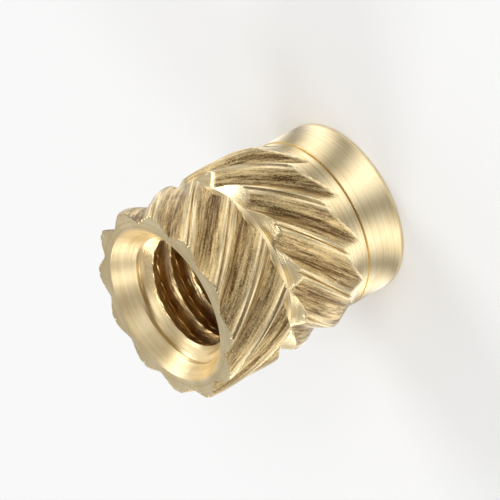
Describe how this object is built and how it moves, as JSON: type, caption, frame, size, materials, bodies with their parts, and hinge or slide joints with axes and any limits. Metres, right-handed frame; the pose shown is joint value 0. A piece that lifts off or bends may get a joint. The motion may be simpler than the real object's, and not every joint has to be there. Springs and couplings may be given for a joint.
{
  "type": "threaded insert",
  "caption": "Knurled brass insert with a countersunk tapped bore, set into a plastic boss with heat or pressure to give it a strong machine thread.",
  "frame": {"origin": "centre of the flat pilot end, on which the insert stands", "axes": "+Z along the bore, out of the countersunk mouth; +X through the middle of a tooth of the mouth band at the mouth face; +Y completes the frame"},
  "size_m": [0.0042, 0.0042, 0.005],
  "materials": {
    "brass": "bright turned faces, rolled knurl"
  },
  "bodies": {
    "root": {"insert": "brass"}
  },
  "joints": []
}
